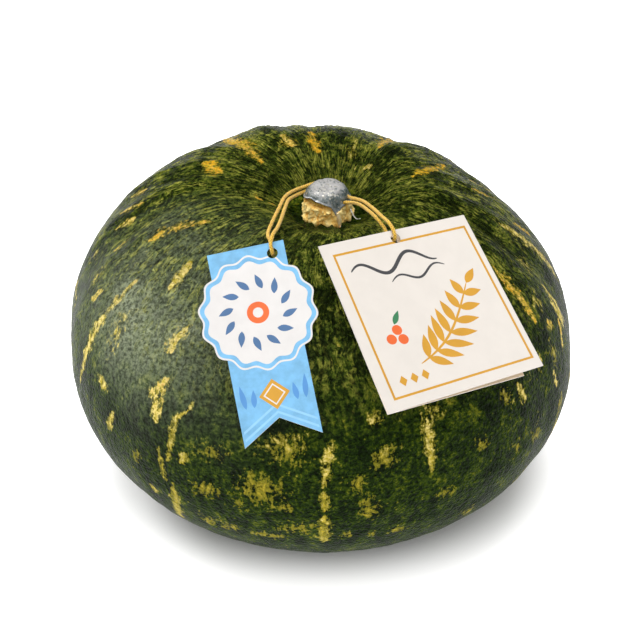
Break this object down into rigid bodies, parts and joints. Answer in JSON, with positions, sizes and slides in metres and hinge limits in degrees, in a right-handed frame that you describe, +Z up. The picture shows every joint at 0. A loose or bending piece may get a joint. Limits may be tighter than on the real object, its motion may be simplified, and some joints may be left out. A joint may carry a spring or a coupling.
{
  "type": "kabocha squash",
  "caption": "Round green winter squash standing on its blossom end, its cut stem sealed with wax, with two cards hung from the stem on cord.",
  "frame": {"origin": "middle of the object's footprint box, on the plane that the squash rests on", "axes": "+Z up the stem, -Y towards the side that carries the cards, +X to the right seen from that side"},
  "size_m": [0.2098, 0.2144, 0.1518],
  "materials": {
    "rind": "thin hard dark green rind with yellow streaks, waxy bloom and fine bumps",
    "wax": "silvery blue sealing wax with glitter, glossy",
    "blue_card": "printed coated card, satin",
    "white_card": "printed uncoated card, matte",
    "yellow_cord": "thin golden yellow braided cord with a slight sheen"
  },
  "bodies": {
    "root": {"squash_fruit": "rind", "stem_wax": "wax", "ribbon_card": "blue_card", "folded_card": "white_card", "ribbon_card_cord": "yellow_cord", "folded_card_cord": "yellow_cord"}
  },
  "joints": []
}
